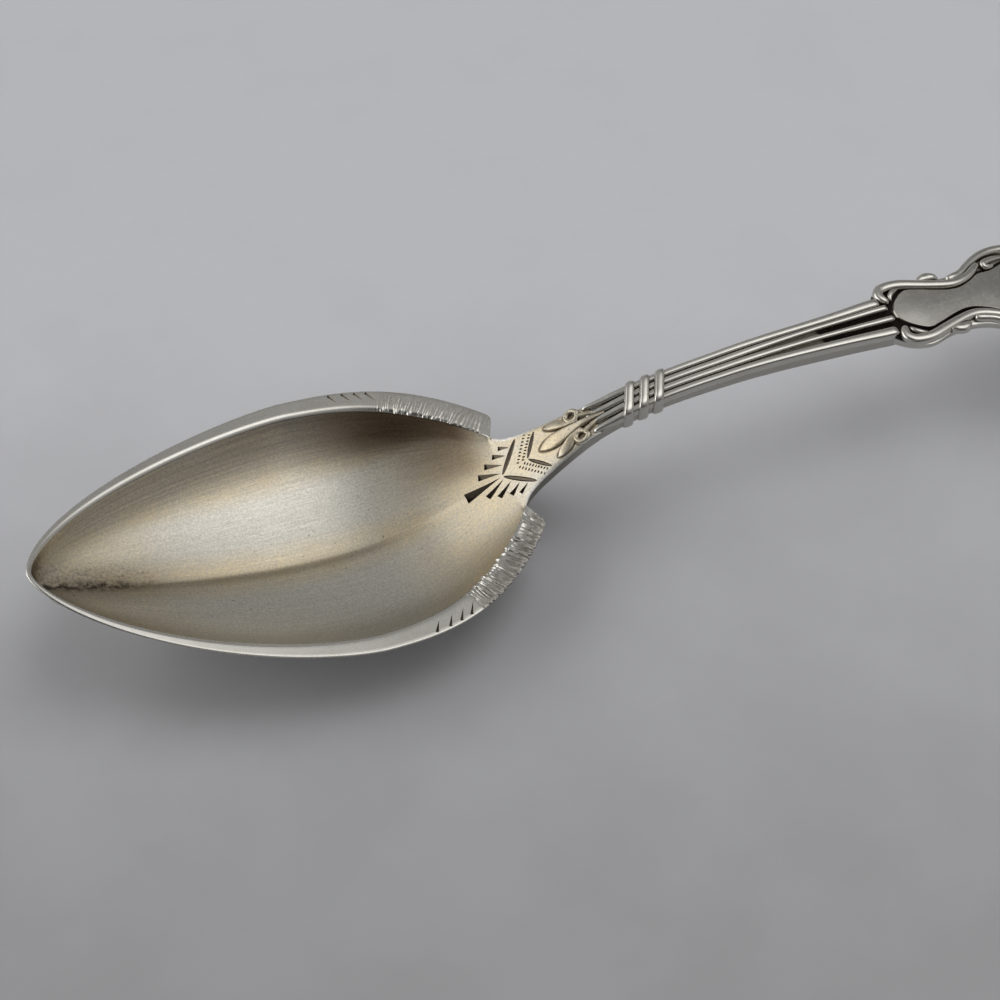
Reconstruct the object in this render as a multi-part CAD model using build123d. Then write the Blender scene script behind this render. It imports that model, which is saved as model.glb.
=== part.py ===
from build123d import *
import math
import os

# A silver citrus spoon: pointed dish, reeded stem with three ties, cartouche handle.
# Stations run along +X from the tip of the bowl, +Y is the right side as the hand on
# the handle sees it, and Z is the height above the table it rests on. All in mm.

# Lengths along the spoon
BOWL_LENGTH = 52.0
STEM_LENGTH = 42.0
HANDLE_LENGTH = 58.0

# Bowl in plan
BOWL_WIDTH = 34.8
WIDEST_SHARE = 0.596
SHOULDER_WIDTH = 15.0
NOTCH_WIDTH = 11.2
NOTCH_DEPTH = 1.8
TIP_FULLNESS = 0.63
FRONT_CURVE = 1.5
BACK_CURVE = 2.65

# Heights above the table
TIP_HEIGHT = 12.75
MIDDLE_RIM_HEIGHT = 7.65
SHOULDER_HEIGHT = 6.8
NECK_HEIGHT = 7.3
TIP_WALL_DEPTH = 1.95
DEEPEST_SHARE = 0.654
FRONT_KEEL_CURVE = 1.75
BACK_KEEL_CURVE = 1.6

# Bowl wall and rim strip
BOWL_WALL = 1.0
RIM_THICKNESS = 0.6
RIM_WIDTH_AT_TIP = 0.7
RIM_WIDTH_AT_SHOULDER = 2.6
RIM_FULL_WIDTH_SHARE = 0.846
INNER_CREASE = 0.35
INNER_CURVE = 4.0
OUTER_CREASE = 0.2
OUTER_CURVE = 3.0
NOSE_RISE = 1.2
WEAR_FLAT = 0.2

# Stem: its line as (share of the stem's length, height) and (share, half width)
STEM_LINE = [(0.24, 12.15), (0.55, 14.15), (0.86, 14.25)]
STEM_HALF_WIDTHS = [
    (-0.02, 4.35), (0.01, 3.65), (0.055, 3.12), (0.13, 2.45), (0.2, 1.98), (0.28, 1.82),
    (0.43, 1.8), (0.67, 2.05), (0.9, 2.5), (1.0, 2.85),
]
STEM_THICKNESS = 2.2
STEM_EDGE_RADIUS = 0.7
NECK_DISH_LENGTH = 6.8
NECK_DISH_CURVE = 1.5
NECK_SWEEP = -1.6
SHANK_FLARE = 0.08
HEEL_LAP = 7.0
HEEL_HALF_WIDTHS = [(0.85, 2.6), (0.45, 4.3)]

# Reeds, ties and palmette, stations counted from the end of the bowl
REED_COUNT = 4
REED_START = 8.6
REED_HEIGHT = 0.65
REED_LAP = 0.3
REED_GAP = 0.12
TIE_COUNT = 3
TIE_START = 12.15
TIE_PITCH = 1.7
TIE_WIDTH = 1.1
TIE_THICKNESS = 0.45
TIE_SLANT = 25.0
PALMETTE_START = 2.2
PETAL_LENGTH = 5.0
PETAL_WIDTH = 1.4
SIDE_PETAL_LENGTH = 3.6
SIDE_PETAL_WIDTH = 1.1
SIDE_PETAL_ANGLE = 30.0
CURL_STATION = 6.2
CURL_OFFSET = 1.35
CURL_RADIUS = 0.75
CURL_EYE_RADIUS = 0.3
PALMETTE_RELIEF = 0.4

# Handle: lines as (share of the handle's length, height or distance from the middle)
HANDLE_LINE = [(0.22, 13.3), (0.48, 10.7), (0.72, 6.0)]
END_EASE = 0.8
PLATE_THICKNESS = 1.4
PLATE_HALF_WIDTHS = [
    (0.024, 4.2), (0.056, 4.85), (0.12, 4.05), (0.19, 4.0), (0.25, 5.6), (0.32, 6.85), (0.39, 6.45),
    (0.46, 6.0), (0.55, 6.6), (0.69, 8.5), (0.79, 8.8), (0.88, 7.3),
]
BORDER_HEIGHT = 0.65
LOWER_SCROLL = [(0.024, 3.4), (0.052, 4.15), (0.09, 3.75), (0.119, 3.35)]
LOWER_SCROLL_WIDTHS = (1.4, 1.0)
LOWER_EYE_OFFSET = 2.75
LOWER_EYE_RADIUS = 1.15
KNUCKLE_LEAF = [(0.121, 4.1), (0.141, 4.35), (0.163, 3.75)]
KNUCKLE_LEAF_WIDTHS = (0.7, 1.0)
UPPER_SCROLL = [(0.166, 3.1), (0.205, 3.3), (0.24, 4.5), (0.28, 5.75), (0.33, 6.05), (0.385, 5.65)]
UPPER_SCROLL_WIDTHS = (1.1, 1.5)
UPPER_EYE = (0.272, 4.3)
UPPER_EYE_RADIUS = 0.8
SIDE_BORDER = [(0.39, 5.6), (0.46, 5.25), (0.56, 5.95), (0.69, 7.7), (0.785, 8.05), (0.845, 7.2)]
SIDE_BORDER_WIDTHS = (1.4, 1.3)
SHELL_LENGTH = 9.9
SHELL_HALF_WIDTH = 7.2
SHELL_FLUTES = 7
SHELL_SPREAD = 124.0
SHELL_SCALLOP = 0.45

# Fits
SOLDER_GAP = 0.02
LEAST_DEPTH = 0.001

# Stations and levels worked out from the sizes above
HANDLE_START = BOWL_LENGTH + STEM_LENGTH
SPOON_LENGTH = HANDLE_START + HANDLE_LENGTH
WIDEST_STATION = WIDEST_SHARE * BOWL_LENGTH
DEEPEST_STATION = DEEPEST_SHARE * BOWL_LENGTH
RIM_FULL_WIDTH_STATION = RIM_FULL_WIDTH_SHARE * BOWL_LENGTH
NOTCH_STATION = BOWL_LENGTH - NOTCH_DEPTH
DISH_END = NOTCH_STATION + NECK_DISH_LENGTH
HEEL_START = NOTCH_STATION - HEEL_LAP
END_HEIGHT = BORDER_HEIGHT + PLATE_THICKNESS - WEAR_FLAT
KEEL_LOW = BOWL_WALL - WEAR_FLAT
KEEL_AT_TIP = TIP_HEIGHT - TIP_WALL_DEPTH
FAR = 3.0 * BOWL_WIDTH
LID_HEIGHT = TIP_HEIGHT + NECK_HEIGHT


# Curves of the spoon
def smooth_line(points, first_slope, last_slope):
    """A smooth line through points: gives its value at a station."""
    xs = [p[0] for p in points]
    zs = [p[1] for p in points]
    slopes = [first_slope]
    for i in range(1, len(points) - 1):
        before = xs[i] - xs[i - 1]
        after = xs[i + 1] - xs[i]
        rise = (zs[i] - zs[i - 1]) / before * after + (zs[i + 1] - zs[i]) / after * before
        slopes.append(rise / (before + after))
    slopes.append(last_slope)

    def value(s):
        i = max(0, min(len(xs) - 2, sum(1 for x in xs[1:-1] if s >= x)))
        span = xs[i + 1] - xs[i]
        t = (s - xs[i]) / span
        start = zs[i] * (1 + 2 * t) * (1 - t) ** 2 + slopes[i] * span * t * (1 - t) ** 2
        end = zs[i + 1] * t * t * (3 - 2 * t) + slopes[i + 1] * span * t * t * (t - 1)
        return start + end

    return value


def bowl_half(s):
    """Half the width of the bowl's outer edge at a station."""
    if s < WIDEST_STATION:
        left = 1 - max(s, 0.0) / WIDEST_STATION
        return BOWL_WIDTH / 2 * (1 - left ** FRONT_CURVE) ** TIP_FULLNESS
    share = (s - WIDEST_STATION) / (BOWL_LENGTH - WIDEST_STATION)
    return BOWL_WIDTH / 2 * (1 - (1 - SHOULDER_WIDTH / BOWL_WIDTH) * share ** BACK_CURVE)


def bowl_slope(s):
    """How fast the bowl's half width grows along the spoon."""
    step = 0.05
    return (bowl_half(s + step) - bowl_half(s - step)) / (2 * step)


def rim_height(s):
    """Height of the rim's top: a parabola through tip, middle and shoulder."""
    t = s / BOWL_LENGTH
    ends = TIP_HEIGHT * (1 - t) * (1 - 2 * t) + SHOULDER_HEIGHT * t * (2 * t - 1)
    return ends + 4 * MIDDLE_RIM_HEIGHT * t * (1 - t)


def rim_width(s):
    share = min(1.0, s / RIM_FULL_WIDTH_STATION)
    return RIM_WIDTH_AT_TIP + (RIM_WIDTH_AT_SHOULDER - RIM_WIDTH_AT_TIP) * share


def keel_height(s):
    """Height of the crease along the inside of the bowl."""
    if s < DEEPEST_STATION:
        return KEEL_LOW + (KEEL_AT_TIP - KEEL_LOW) * (1 - s / DEEPEST_STATION) ** FRONT_KEEL_CURVE
    share = (s - DEEPEST_STATION) / (BOWL_LENGTH - DEEPEST_STATION)
    return KEEL_LOW + (NECK_HEIGHT - KEEL_LOW) * share ** BACK_KEEL_CURVE


NECK_SLOPE = BACK_KEEL_CURVE * (NECK_HEIGHT - KEEL_LOW) / (BOWL_LENGTH - DEEPEST_STATION)
LINE_POINTS = [(BOWL_LENGTH, NECK_HEIGHT)]
LINE_POINTS += [(BOWL_LENGTH + share * STEM_LENGTH, z) for share, z in STEM_LINE]
LINE_POINTS += [(HANDLE_START + share * HANDLE_LENGTH, z) for share, z in HANDLE_LINE]
LINE_POINTS += [(SPOON_LENGTH, END_HEIGHT)]
END_FALL = (END_HEIGHT - LINE_POINTS[-2][1]) / (SPOON_LENGTH - LINE_POINTS[-2][0])
stem_line = smooth_line(LINE_POINTS, NECK_SLOPE, END_EASE * END_FALL)

SIDE_POINTS = [(NOTCH_STATION, NOTCH_WIDTH / 2)]
SIDE_POINTS += [(BOWL_LENGTH + share * STEM_LENGTH, y) for share, y in STEM_HALF_WIDTHS]
stem_half = smooth_line(SIDE_POINTS, NECK_SWEEP, SHANK_FLARE)


def top_line(s):
    """Height along the spoon's middle: the bowl's crease, then the top of stem and handle."""
    return keel_height(s) if s < BOWL_LENGTH else stem_line(s)


def dish_half(s):
    """Half the width of the dish at its edge: the outline set in by the rim, then the neck."""
    if s > NOTCH_STATION:
        return stem_half(s) + SOLDER_GAP
    return bowl_half(s) - rim_width(s) * math.hypot(1, bowl_slope(s))


def dish_edge(s):
    """Height of the dish's edge: the rim, then the neck's edge as the dish runs out."""
    if s <= NOTCH_STATION:
        return rim_height(s)
    left = max(0.0, (DISH_END - s) / NECK_DISH_LENGTH)
    at_notch = rim_height(NOTCH_STATION) - top_line(NOTCH_STATION)
    return top_line(s) + at_notch * left ** NECK_DISH_CURVE + LEAST_DEPTH


# Building blocks
def spread(first, last, count):
    return [first + (last - first) * i / (count - 1) for i in range(count)]


def both_sides(points):
    """The left side's points, the point on the middle line, then the right side's."""
    return [(x, -y) for x, y in points[:0:-1]] + points


def prism(edges):
    """An upright block on a closed plan outline."""
    return extrude(make_face(edges), amount=FAR, both=True)


def upright(faces):
    """Upright blocks on plan faces, joined."""
    block = extrude(faces[0], amount=FAR, both=True)
    for face in faces[1:]:
        block += extrude(face, amount=FAR, both=True)
    return block


def slab(stations, low, high):
    """A block between two height curves, wider than the spoon."""
    bottom = [(s, 0, low(s)) for s in stations]
    top = [(s, 0, high(s)) for s in stations]
    edges = [Spline(*bottom), Line(bottom[-1], top[-1]), Spline(*top), Line(top[0], bottom[0])]
    return extrude(make_face(edges), amount=FAR, dir=(0, 1, 0), both=True)


def line_slab(low, high):
    """A block between two levels counted from the top line, from the heel to past the end."""
    stations = spread(HEEL_START, BOWL_LENGTH, 6)[:-1] + spread(BOWL_LENGTH, SPOON_LENGTH + NOTCH_DEPTH, 52)
    return slab(stations, lambda s: top_line(s) + low, lambda s: top_line(s) + high)


def rim_slab(low, high):
    """A block between two levels counted from the rim's top, over the whole bowl."""
    stations = spread(-BOWL_WALL, BOWL_LENGTH + BOWL_WALL, 14)
    return slab(stations, lambda s: rim_height(s) + low, lambda s: rim_height(s) + high)


def between(first, last):
    """Everything between two stations."""
    return Pos((first + last) / 2, 0, 0) * Box(last - first, 2 * FAR, 2 * FAR)


def dish_section(s, low, edge, half, crease, curve):
    """An upright section of a dish: creased bottom, steep sides, then straight up to a lid."""
    shares = [0.0, 0.3, 0.55, 0.75, 0.9, 1.0, 1.12]

    def point(u):
        return (s, u * half, low + (edge - low) * (crease * abs(u) + (1 - crease) * abs(u) ** curve))

    right = [point(u) for u in shares]
    left = [point(-u) for u in shares]
    lid_right = (s, right[-1][1], LID_HEIGHT)
    lid_left = (s, left[-1][1], LID_HEIGHT)
    edges = [Spline(*right), Line(right[-1], lid_right), Line(lid_right, lid_left)]
    edges += [Line(lid_left, left[-1]), Spline(*left[::-1])]
    return make_face(edges)


def ribbon(points, widths):
    """A band in plan along a curve, its width changing evenly from end to end."""
    path = Spline(*points)
    steps = 2 * len(points)
    right = []
    left = []
    for i in range(steps + 1):
        t = i / steps
        place = path @ t
        along = path % t
        reach = (widths[0] + (widths[1] - widths[0]) * t) / 2
        right.append((place.X - along.Y * reach, place.Y + along.X * reach))
        left.append((place.X + along.Y * reach, place.Y - along.X * reach))
    ends = [Line(right[-1], left[-1]), Line(left[0], right[0])]
    return make_face([Spline(*right), ends[0], Spline(*left[::-1]), ends[1]])


def disc(x, y, radius):
    return Pos(x, y) * Circle(radius)


def petal(root, angle, length, width):
    """A leaf shape in plan, pointing from its root towards the bowl."""
    half = length / 2
    arcs = [
        ThreePointArc((0, 0), (-half, width / 2), (-length, 0)),
        ThreePointArc((-length, 0), (-half, -width / 2), (0, 0)),
    ]
    return Pos(*root) * Rot(0, 0, angle) * make_face(arcs)


def on_handle(points):
    return [(HANDLE_START + share * HANDLE_LENGTH, y) for share, y in points]


def leaf_outline(last_station):
    """The bowl's plan outline: one curve round the tip, then in to the notches of the neck."""
    shares = [0.0, 0.0135, 0.042, 0.096, 0.19, 0.33, 0.46, 0.6, 0.71, 0.81, 0.885]
    stations = [share * BOWL_LENGTH for share in shares]
    stations += spread((stations[-1] + last_station) / 2, last_station, 3)
    leaf = Spline(*both_sides([(s, bowl_half(s)) for s in stations]))
    notch = (NOTCH_STATION, NOTCH_WIDTH / 2)
    notch_left = (notch[0], -notch[1])
    return [leaf, Line(leaf @ 1, notch), Line(notch, notch_left), Line(notch_left, leaf @ 0)]


# Blocks that several pieces share
DISH_SHARES = [0.02, 0.042, 0.087, 0.164, 0.26, 0.36, 0.46, 0.56, 0.66, 0.75, 0.83, 0.89, 0.93]
dish_stations = [share * BOWL_LENGTH for share in DISH_SHARES] + [NOTCH_STATION]
dish_hollow, neck_hollow = [
    loft([dish_section(s, top_line(s), dish_edge(s), dish_half(s), INNER_CREASE, INNER_CURVE) for s in stations])
    for stations in (dish_stations, spread(NOTCH_STATION + LEAST_DEPTH, DISH_END, 6))
]
nose = dish_section(
    -BOWL_WALL, KEEL_AT_TIP - BOWL_WALL + NOSE_RISE, rim_height(0.0), dish_half(dish_stations[0]) + BOWL_WALL,
    OUTER_CREASE, OUTER_CURVE,
)
filled_bowl = loft([nose] + [
    dish_section(s, keel_height(s) - BOWL_WALL, rim_height(s), dish_half(s) + BOWL_WALL, OUTER_CREASE, OUTER_CURVE)
    for s in dish_stations
])
above_table = Pos(SPOON_LENGTH / 2, 0, FAR / 2) * Box(2 * SPOON_LENGTH, 2 * FAR, FAR)


# Pieces
def make_bowl():
    """The raised dish, its wall ending under the rim strip, with a worn flat underneath."""
    under_rim = rim_slab(-FAR / 2, -RIM_THICKNESS - SOLDER_GAP)
    return (filled_bowl & prism(leaf_outline(NOTCH_STATION)) & under_rim & above_table) - dish_hollow


def make_rim_border():
    """The flat strip on the bowl's edge, from one eared shoulder round the tip to the other."""
    return (prism(leaf_outline(BOWL_LENGTH)) & rim_slab(-RIM_THICKNESS, 0.0)) - dish_hollow


def make_stem():
    """Neck and shank in one bar, its heel lapped under the bowl, its top cut down for the reeds."""
    heel = [(NOTCH_STATION - share * HEEL_LAP, y) for share, y in HEEL_HALF_WIDTHS]
    heel_edge = Spline(*both_sides([(HEEL_START, 0.0)] + heel + [SIDE_POINTS[0]]))
    side = Spline(*SIDE_POINTS)
    end_edge = Line(side @ 1, side.mirror(Plane.XZ) @ 1)
    bar = prism([heel_edge, side, side.mirror(Plane.XZ), end_edge])
    bar = bar & line_slab(-STEM_THICKNESS, STEM_THICKNESS)
    underside = bar.faces().sort_by(Axis.Z)[0]
    bar = fillet(underside.edges().filter_by(lambda edge: edge.length > HEEL_LAP), STEM_EDGE_RADIUS)
    bar -= between(DISH_END, SPOON_LENGTH) & line_slab(0.0, FAR)
    bar -= between(BOWL_LENGTH + REED_START, SPOON_LENGTH) & line_slab(-REED_HEIGHT, FAR)
    return bar - neck_hollow - filled_bowl


def make_reed(index):
    """One half-round wire seated on the shank, as wide as its share of the shank."""
    sections = []
    for s in spread(BOWL_LENGTH + REED_START, HANDLE_START + REED_LAP, 18):
        pitch = 2 * stem_half(s) / REED_COUNT
        middle = (index - (REED_COUNT - 1) / 2) * pitch
        reach = (pitch - REED_GAP) / 2
        seat = top_line(s) - REED_HEIGHT + SOLDER_GAP
        # A curve with two handles rises three quarters of the way up to them.
        handle = seat + (REED_HEIGHT - SOLDER_GAP) * 4 / 3
        left = (s, middle - reach, seat)
        right = (s, middle + reach, seat)
        arch = Bezier(left, (s, middle - reach, handle), (s, middle + reach, handle), right)
        sections.append(make_face([arch, Line(right, left)]))
    return loft(sections)


def make_tie(index):
    """One slanted band round the shank and its reeds."""
    centre = BOWL_LENGTH + TIE_START + index * TIE_PITCH
    lean = math.tan(math.radians(TIE_SLANT))
    inside = stem_half(centre - TIE_PITCH) + SOLDER_GAP
    outside = inside + TIE_THICKNESS

    def slanted(reach, width):
        corners = [
            (centre + side * reach * lean + end * width / 2, side * reach)
            for side, end in ((-1, -1), (-1, 1), (1, 1), (1, -1))
        ]
        return prism(Polyline(*corners, close=True).edges())

    bore = slanted(inside, 4 * TIE_WIDTH) & line_slab(-STEM_THICKNESS - SOLDER_GAP, SOLDER_GAP)
    reach = TIE_THICKNESS + SOLDER_GAP
    return (slanted(outside, TIE_WIDTH) & line_slab(-STEM_THICKNESS - reach, reach)) - bore


def make_palmette(stem):
    """Three petals and two curls, seated on the neck."""
    root = BOWL_LENGTH + PALMETTE_START + PETAL_LENGTH
    curl = BOWL_LENGTH + CURL_STATION
    faces = [petal((root, 0), 0, PETAL_LENGTH, PETAL_WIDTH)]
    for side in (1, -1):
        ring = disc(curl, side * CURL_OFFSET, CURL_RADIUS) - disc(curl, side * CURL_OFFSET, CURL_EYE_RADIUS)
        side_root = (curl, side * (CURL_OFFSET - CURL_RADIUS))
        faces.append(ring)
        faces.append(petal(side_root, -side * SIDE_PETAL_ANGLE, SIDE_PETAL_LENGTH, SIDE_PETAL_WIDTH))
    return (upright(faces) & line_slab(-STEM_THICKNESS / 2, PALMETTE_RELIEF)) - stem


def make_handle_plate():
    """The cartouche plate, its underside worn flat where it meets the table."""
    right = [(HANDLE_START, stem_half(HANDLE_START))] + on_handle(PLATE_HALF_WIDTHS)
    edge = Spline(*right)
    edge_left = edge.mirror(Plane.XZ)
    end = ThreePointArc(edge @ 1, (SPOON_LENGTH, 0), edge_left @ 1)
    outline = [edge, end, edge_left, Line(edge @ 0, edge_left @ 0)]
    return prism(outline) & line_slab(-BORDER_HEIGHT - PLATE_THICKNESS, -BORDER_HEIGHT) & above_table


def raised(faces):
    """Ornament of the border's height, seated on the handle plate."""
    return upright(faces) & line_slab(SOLDER_GAP - BORDER_HEIGHT, 0.0)


def make_lower_scroll():
    eye_station = HANDLE_START + REED_LAP + SOLDER_GAP + LOWER_EYE_RADIUS
    eye = disc(eye_station, LOWER_EYE_OFFSET, LOWER_EYE_RADIUS)
    return raised([ribbon(on_handle(LOWER_SCROLL), LOWER_SCROLL_WIDTHS), eye])


def make_knuckle_leaf():
    return raised([ribbon(on_handle(KNUCKLE_LEAF), KNUCKLE_LEAF_WIDTHS)])


def make_upper_scroll():
    eye = on_handle([UPPER_EYE])[0]
    return raised([ribbon(on_handle(UPPER_SCROLL), UPPER_SCROLL_WIDTHS), disc(*eye, UPPER_EYE_RADIUS)])


def make_side_border():
    return raised([ribbon(on_handle(SIDE_BORDER), SIDE_BORDER_WIDTHS)])


def make_end_shell():
    """A fan of flutes with a scalloped edge at the handle's end."""
    root = SPOON_LENGTH - SHELL_LENGTH
    reach = SHELL_LENGTH - 2 * SHELL_SCALLOP

    def rim_point(angle, extra):
        turn = math.radians(angle)
        return (root + (reach + extra) * math.cos(turn), (SHELL_HALF_WIDTH + extra) * math.sin(turn))

    angles = spread(-SHELL_SPREAD / 2, SHELL_SPREAD / 2, SHELL_FLUTES + 1)
    edges = [Line((root, 0), rim_point(angles[0], 0))]
    for first, last in zip(angles, angles[1:]):
        middle = rim_point((first + last) / 2, SHELL_SCALLOP)
        edges.append(ThreePointArc(rim_point(first, 0), middle, rim_point(last, 0)))
    edges.append(Line(rim_point(angles[-1], 0), (root, 0)))
    return raised([make_face(edges)])


# Assembly
stem = make_stem()
pieces = {
    "bowl": make_bowl(),
    "rim_border": make_rim_border(),
    "stem": stem,
    "palmette": make_palmette(stem),
    "handle_plate": make_handle_plate(),
    "end_shell": make_end_shell(),
}
for i in range(REED_COUNT):
    pieces[f"reed_{i + 1}"] = make_reed(i)
for i in range(TIE_COUNT):
    pieces[f"tie_band_{i + 1}"] = make_tie(i)
pairs = {
    "lower_scroll": make_lower_scroll(),
    "knuckle_leaf": make_knuckle_leaf(),
    "upper_scroll": make_upper_scroll(),
    "side_border": make_side_border(),
}
for name, piece in pairs.items():
    pieces[f"{name}_right"] = piece
    pieces[f"{name}_left"] = mirror(piece, about=Plane.XZ)

os.makedirs("parts", exist_ok=True)
for name, piece in pieces.items():
    placed = Pos(-SPOON_LENGTH / 2, 0, 0) * piece
    export_step(placed, f"parts/{name}.step")
    print(f"{name}: {placed.volume:.1f} mm3, {len(placed.solids())} solid(s)")
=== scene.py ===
# %% [markdown]
# # A silver citrus spoon
# This lesson dresses a measured CAD spoon so that it looks like an old silver one.
# The CAD model is loaded as a fixed frame. Every piece made below stands for one of its
# nodes, sits in the same place and is measured in the same metres.

# %% Load the frame
import math
import random

import bpy
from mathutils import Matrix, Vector


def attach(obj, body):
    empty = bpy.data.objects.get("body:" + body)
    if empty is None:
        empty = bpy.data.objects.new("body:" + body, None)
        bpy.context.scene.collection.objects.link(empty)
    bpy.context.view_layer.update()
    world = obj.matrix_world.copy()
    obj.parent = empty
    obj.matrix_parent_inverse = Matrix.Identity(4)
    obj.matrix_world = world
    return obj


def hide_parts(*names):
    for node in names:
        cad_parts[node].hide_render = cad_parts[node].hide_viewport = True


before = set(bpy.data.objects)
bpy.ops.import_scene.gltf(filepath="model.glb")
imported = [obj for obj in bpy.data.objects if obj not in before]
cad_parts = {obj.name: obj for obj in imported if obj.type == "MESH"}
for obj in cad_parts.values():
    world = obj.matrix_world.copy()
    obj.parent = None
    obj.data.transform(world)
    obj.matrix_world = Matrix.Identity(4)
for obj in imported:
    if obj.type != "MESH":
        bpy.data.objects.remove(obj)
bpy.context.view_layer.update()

# %% [markdown]
# A spoon is all long curves, so the measures come first. They are in millimetres, and a
# station is a distance from the tip of the bowl towards the handle. They are the same
# measures that the CAD model was drawn with.

# %% Measures of the spoon
MM = 0.001
BOWL_LENGTH = 52.0
STEM_LENGTH = 42.0
HANDLE_LENGTH = 58.0
HANDLE_START = BOWL_LENGTH + STEM_LENGTH
SPOON_LENGTH = HANDLE_START + HANDLE_LENGTH
BOWL_WIDTH = 34.8
SHOULDER_WIDTH = 15.0
WIDEST = 0.596 * BOWL_LENGTH
DEEPEST = 0.654 * BOWL_LENGTH
NOTCH = BOWL_LENGTH - 1.8
TIP_HEIGHT, MIDDLE_HEIGHT, SHOULDER_HEIGHT = 12.75, 7.65, 6.8
KEEL_TIP, KEEL_LOW, NECK_HEIGHT = 10.8, 0.8, 7.3
RELIEF = 0.65
print("spoon length in mm:", SPOON_LENGTH)

# %% [markdown]
# An outline such as the stem's can't be caught in one formula. It is a smooth line through
# a few measured points, the way a thin lath bends round nails. A Bezier curve object could
# do the same, but a function gives the value at any station at once. The second helper is
# a soft step, for every place where one form fades into another.

# %% Smooth lines
def smooth_line(points, first_slope, last_slope):
    """A smooth line through points: gives its value at a station."""
    xs = [p[0] for p in points]
    zs = [p[1] for p in points]
    slopes = [first_slope]
    for i in range(1, len(points) - 1):
        before = xs[i] - xs[i - 1]
        after = xs[i + 1] - xs[i]
        rise = (zs[i] - zs[i - 1]) / before * after + (zs[i + 1] - zs[i]) / after * before
        slopes.append(rise / (before + after))
    slopes.append(last_slope)

    def value(s):
        i = max(0, min(len(xs) - 2, sum(1 for x in xs[1:-1] if s >= x)))
        span = xs[i + 1] - xs[i]
        t = (s - xs[i]) / span
        start = zs[i] * (1 + 2 * t) * (1 - t) ** 2 + slopes[i] * span * t * (1 - t) ** 2
        end = zs[i + 1] * t * t * (3 - 2 * t) + slopes[i + 1] * span * t * t * (t - 1)
        return start + end

    return value


def ease(x, low, high):
    """0 below low, 1 above high and a soft step between them."""
    t = min(1.0, max(0.0, (x - low) / (high - low)))
    return t * t * (3 - 2 * t)


print("soft step at a quarter:", ease(0.25, 0.0, 1.0))

# %% [markdown]
# Each curve of the bowl gives one measure at a station: half the width, the height of the
# rim and of the keel, and the width of the flat strip round the edge. Width and keel are
# powers of the distance from the widest or the deepest place, which gives the bowl its
# long pointed front and its fuller back.

# %% Curves of the bowl
FRONT_CURVE, TIP_FULLNESS, BACK_CURVE = 1.5, 0.63, 2.65
FRONT_KEEL_CURVE, BACK_KEEL_CURVE = 1.75, 1.6
RIM_AT_TIP, RIM_GROWTH = 0.5, 2.1
RIM_FULL = 0.846 * BOWL_LENGTH


def bowl_half(s):
    if s < WIDEST:
        return BOWL_WIDTH / 2 * (1 - (1 - max(s, 0.0) / WIDEST) ** FRONT_CURVE) ** TIP_FULLNESS
    share = (s - WIDEST) / (BOWL_LENGTH - WIDEST)
    return BOWL_WIDTH / 2 * (1 - (1 - SHOULDER_WIDTH / BOWL_WIDTH) * share ** BACK_CURVE)


def rim_height(s):
    t = s / BOWL_LENGTH
    ends = TIP_HEIGHT * (1 - t) * (1 - 2 * t) + SHOULDER_HEIGHT * t * (2 * t - 1)
    return ends + 4 * MIDDLE_HEIGHT * t * (1 - t)


def rim_width(s):
    return RIM_AT_TIP + RIM_GROWTH * min(1.0, s / RIM_FULL)


def keel_height(s):
    if s < DEEPEST:
        return KEEL_LOW + (KEEL_TIP - KEEL_LOW) * (1 - s / DEEPEST) ** FRONT_KEEL_CURVE
    share = (s - DEEPEST) / (BOWL_LENGTH - DEEPEST)
    return KEEL_LOW + (NECK_HEIGHT - KEEL_LOW) * share ** BACK_KEEL_CURVE


print("bowl width in mm:", round(2 * bowl_half(WIDEST), 2))

# %% [markdown]
# The stem rises from the keel, arches over the table and comes down to it at the end of
# the handle. At the neck its top is still dished like the bowl, and from the palmette on
# it sinks to make a bed for the reeds. The function at() turns a station, a side and a
# height in millimetres into a point in metres, which is what Blender counts in.

# %% Curves of the stem
NOTCH_HALF = 5.6
HANDLE_START_HALF = 2.85
NECK_SLOPE = BACK_KEEL_CURVE * (NECK_HEIGHT - KEEL_LOW) / (BOWL_LENGTH - DEEPEST)
DISH_END = NOTCH + 6.8
BED_START, BED_FULL = 58.4, 62.2
stem_line = smooth_line(
    [(BOWL_LENGTH, NECK_HEIGHT), (62.08, 12.15), (75.1, 14.15), (88.12, 14.25), (106.76, 13.3),
     (121.84, 10.7), (135.76, 6.0), (SPOON_LENGTH, 1.85)],
    first_slope=NECK_SLOPE, last_slope=-0.204,
)
stem_half = smooth_line(
    [(NOTCH, NOTCH_HALF), (51.16, 4.35), (52.42, 3.65), (54.31, 3.12), (57.46, 2.45), (60.4, 1.98),
     (63.76, 1.82), (70.06, 1.8), (80.14, 2.05), (89.8, 2.5), (HANDLE_START, HANDLE_START_HALF)],
    first_slope=-1.6, last_slope=0.08,
)


def top_line(s):
    return keel_height(s) if s < BOWL_LENGTH else stem_line(s)


def dish_half(s):
    """Half the width of the dish inside the rim strip, and of the neck past the notch."""
    if s > NOTCH:
        return stem_half(s)
    slope = (bowl_half(s + 0.05) - bowl_half(s - 0.05)) / 0.1
    return max(0.02, bowl_half(s) - rim_width(s) * math.hypot(1, slope))


def dish_depth(s):
    """How far the middle of the dish lies under its edge."""
    if s <= NOTCH:
        return rim_height(s) - keel_height(s)
    left = max(0.0, (DISH_END - s) / (DISH_END - NOTCH))
    return (rim_height(NOTCH) - keel_height(NOTCH)) * left ** 1.5


def dish_rise(u):
    """Height across the dish, about 0 at the slightly rounded crease and about 1 at the edge."""
    soft = math.sqrt(u * u + 0.0008) - 0.028
    return 0.35 * soft + 0.65 * u ** 4


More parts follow.
